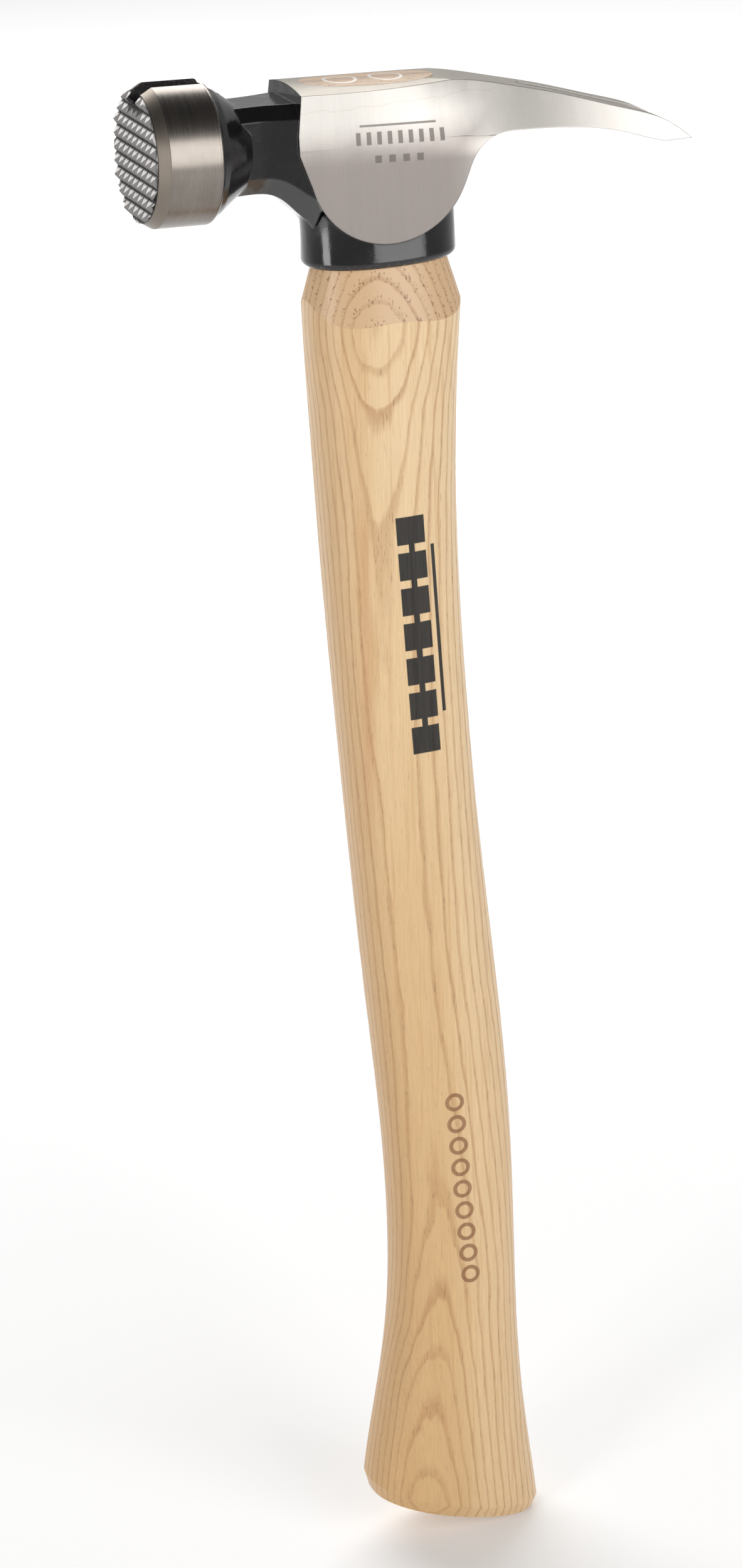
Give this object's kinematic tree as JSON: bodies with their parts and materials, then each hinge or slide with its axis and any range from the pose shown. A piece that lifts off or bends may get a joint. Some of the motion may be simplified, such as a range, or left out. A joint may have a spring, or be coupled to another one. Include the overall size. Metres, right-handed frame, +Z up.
{
  "type": "framing hammer",
  "caption": "Framing hammer with a milled face, a magnetic nail starter, a straight ripping claw and a curved hickory handle that flares at the butt.",
  "frame": {"origin": "middle of the bottom of the whole hammer's box, level with the lowest point of the butt", "axes": "+Z up the handle to the head, the striking face looks towards -X, the claw points to +X, Y is the thickness and the hammer is mirrored about Y = 0"},
  "size_m": [0.1578, 0.0382, 0.4537],
  "materials": {
    "head_steel": "ground and brushed steel, with a gloss black lacquer on the collar, the neck, the front of the eye and the skirt",
    "hickory": "clear-varnished hickory with a satin sheen",
    "wedge_wood": "ground end grain",
    "wedge_steel": "ground flush with the top of the eye",
    "magnet_plating": "bright nickel plating"
  },
  "bodies": {
    "root": {"head": "head_steel", "handle": "hickory", "wood_wedge": "wedge_wood", "ring_wedge_front": "wedge_steel", "ring_wedge_rear": "wedge_steel", "nail_magnet": "magnet_plating"}
  },
  "joints": []
}
